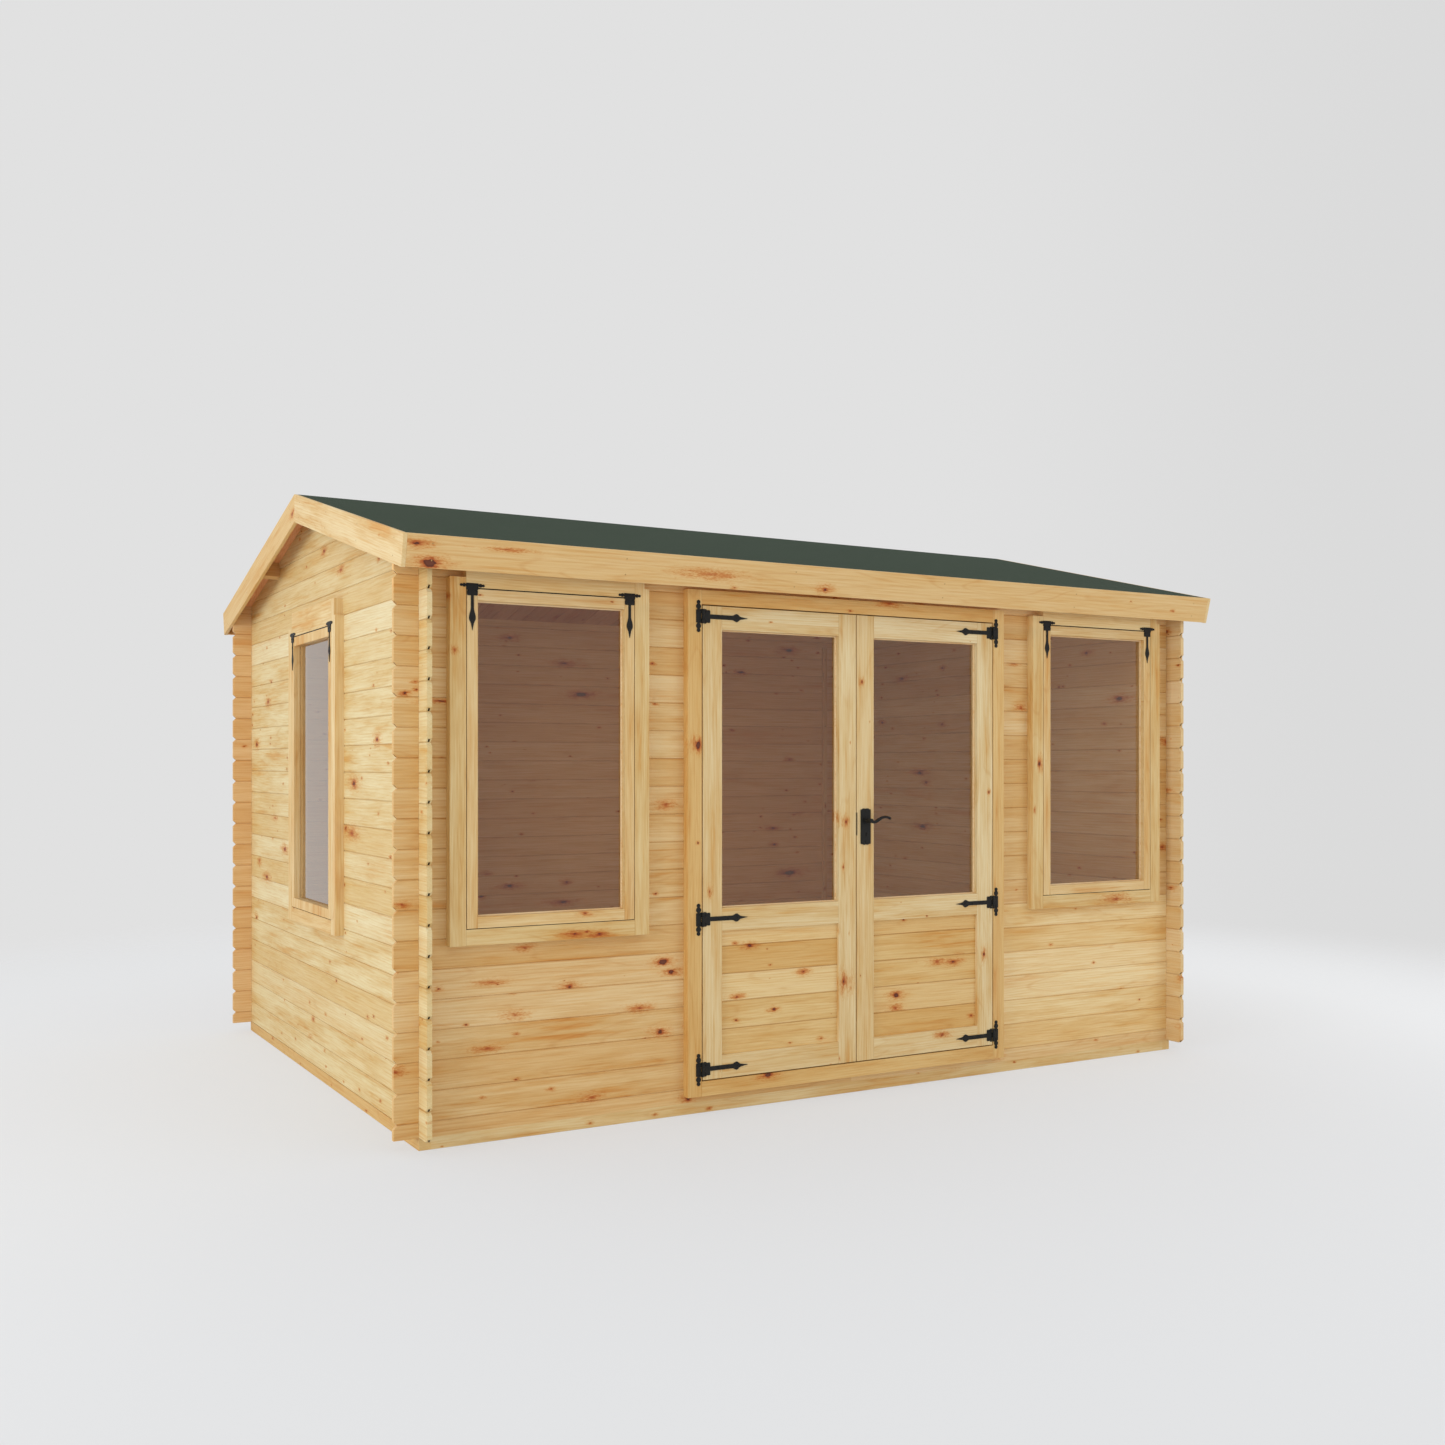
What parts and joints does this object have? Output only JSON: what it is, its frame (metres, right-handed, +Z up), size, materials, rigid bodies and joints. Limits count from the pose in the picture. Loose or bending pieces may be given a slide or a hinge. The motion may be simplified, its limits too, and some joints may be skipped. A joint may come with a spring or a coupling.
{
  "type": "log cabin",
  "caption": "Single-room softwood log cabin with notched corners, a low felted gable roof, a glazed double door and top-hung windows.",
  "frame": {"origin": "on the ground under the middle of the plan", "axes": "+X along the front to its right, +Y from the front to the back, +Z up; the front faces -Y"},
  "size_m": [4.018, 3.113, 2.5891],
  "materials": {
    "wall_log": "planed softwood, untreated",
    "gable_log": "planed softwood, untreated",
    "bearer": "sawn softwood",
    "floor": "planed softwood",
    "roof_board": "planed softwood, in shade",
    "felt": "mineral roof felt, matte dark green",
    "trim": "planed softwood",
    "joinery": "planed softwood",
    "glass": "clear sheet glass over a dim room",
    "iron": "satin black"
  },
  "bodies": {
    "cabin": {"front_sill_log": "wall_log", "front_wall_left_lower": "wall_log", "front_wall_left_corner": "wall_log", "front_wall_left_pier": "wall_log", "front_wall_right_lower": "wall_log", "front_wall_right_corner": "wall_log", "front_wall_right_pier": "wall_log", "front_wall_head": "wall_log", "back_wall": "wall_log", "left_wall_lower": "gable_log", "left_wall_front": "gable_log", "left_wall_back": "gable_log", "left_gable": "gable_log", "right_wall": "gable_log", "right_gable": "gable_log", "side_bearers": "bearer", "cross_bearers": "bearer", "floor_joists": "bearer", "floor_boards": "floor", "purlins": "roof_board", "roof_boards_front": "roof_board", "roof_boards_back": "roof_board", "roof_felt": "felt", "left_bargeboard_front": "trim", "left_bargeboard_back": "trim", "right_bargeboard_front": "trim", "right_bargeboard_back": "trim", "front_fascia": "trim", "back_fascia": "trim", "door_frame": "joinery", "front_window_frames": "joinery", "side_window_frame": "joinery", "window_sashes": "joinery", "window_glass": "glass", "door_hinge_plates": "iron", "window_hinges": "iron"},
    "left_door": {"left_leaf": "joinery", "left_leaf_panel": "joinery", "left_leaf_glass": "glass", "left_leaf_hinges": "iron"},
    "right_door": {"right_leaf": "joinery", "right_leaf_panel": "joinery", "right_leaf_glass": "glass", "right_leaf_hinges": "iron", "door_handle": "iron"}
  },
  "joints": [
    {"name": "left_door_hinge", "type": "hinge", "parent": "cabin", "child": "left_door", "pos_m": [-0.748, -1.4365, 1.085], "axis": [0, 0, -1], "range_deg": [0, 160]},
    {"name": "right_door_hinge", "type": "hinge", "parent": "cabin", "child": "right_door", "pos_m": [0.748, -1.4365, 1.085], "axis": [0, 0, 1], "range_deg": [0, 160]}
  ]
}
